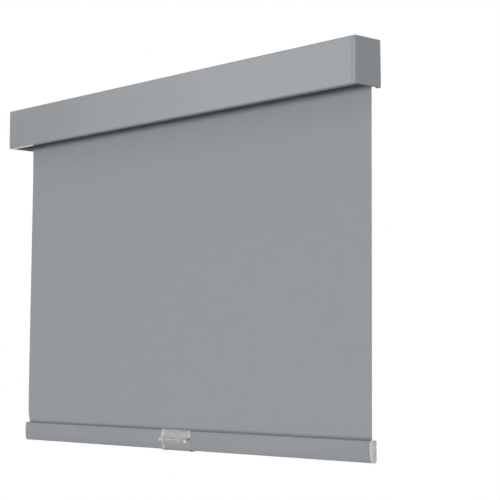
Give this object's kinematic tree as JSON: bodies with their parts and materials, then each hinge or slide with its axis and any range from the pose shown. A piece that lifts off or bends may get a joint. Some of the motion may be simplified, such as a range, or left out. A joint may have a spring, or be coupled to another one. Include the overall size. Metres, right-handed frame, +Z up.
{
  "type": "cordless blackout roller shade",
  "caption": "Cordless blackout roller shade: slim cassette with spring roller, flat light grey fabric, bowed hem rail and clear clip-on pull handle, on ceiling or wall brackets.",
  "frame": {"origin": "centre of the ceiling mounting face, on top of the two brackets", "axes": "+X along the width to the idler end, +Y towards the wall or window, +Z up"},
  "size_m": [0.914, 0.0565, 0.6269],
  "materials": {
    "bracket_steel": "zinc plated sheet",
    "cassette_coat": "satin light grey coat on extruded aluminium",
    "cap_plastic": "matte light grey moulding",
    "carrier_plastic": "matte grey nylon",
    "screw_steel": "zinc plated",
    "tube_aluminium": "mill finish",
    "blackout_fabric": "matte light grey coated blackout weave",
    "spline_plastic": "matte",
    "plug_plastic": "natural acetal",
    "shaft_steel": "bright drawn",
    "spring_steel": "oiled spring steel",
    "rail_coat": "satin light grey coat on extruded aluminium",
    "rail_cap_plastic": "satin translucent grey moulding",
    "clear_plastic": "clear polycarbonate"
  },
  "bodies": {
    "root": {"left_mounting_bracket": "bracket_steel", "right_mounting_bracket": "bracket_steel", "head_rail": "cassette_coat", "fascia": "cassette_coat", "left_end_cap": "cap_plastic", "right_end_cap": "cap_plastic", "left_carrier": "carrier_plastic", "right_carrier": "carrier_plastic", "carrier_screws": "screw_steel", "spring_shaft": "shaft_steel", "spring_anchor": "plug_plastic", "counter_spring": "spring_steel", "shaft_clip": "spring_steel", "shade_panel": "blackout_fabric"},
    "tube": {"roller_tube": "tube_aluminium", "tube_fabric_spline": "spline_plastic", "fabric_roll": "blackout_fabric", "tube_end_plug": "plug_plastic", "spring_drive_plug": "plug_plastic", "idle_plug": "plug_plastic", "pin_spring": "spring_steel"},
    "rail": {"bottom_rail": "rail_coat", "rail_fabric_spline": "spline_plastic", "left_rail_cap": "rail_cap_plastic", "right_rail_cap": "rail_cap_plastic", "pull_handle": "clear_plastic"},
    "pin": {"idle_pin": "shaft_steel"}
  },
  "joints": [
    {"name": "rail_lift", "type": "slide", "parent": "root", "child": "rail", "axis": [0, 0, 1], "range_m": [0, 0.51], "deforming": ["shade_panel"]},
    {"name": "tube_spin", "type": "hinge", "parent": "root", "child": "tube", "pos_m": [0, 0, -0.039], "axis": [1, 0, 0], "range_deg": [-5, 1425]},
    {"name": "idle_pin_slide", "type": "slide", "parent": "tube", "child": "pin", "axis": [1, 0, 0], "range_m": [-0.005, 0], "stiffness_N_per_m": 300, "springref_m": 0.004, "deforming": ["pin_spring"]}
  ],
  "couplings": [
    {"joint": "tube_spin", "follows": "rail_lift", "rad_per_m": 48.26}
  ]
}
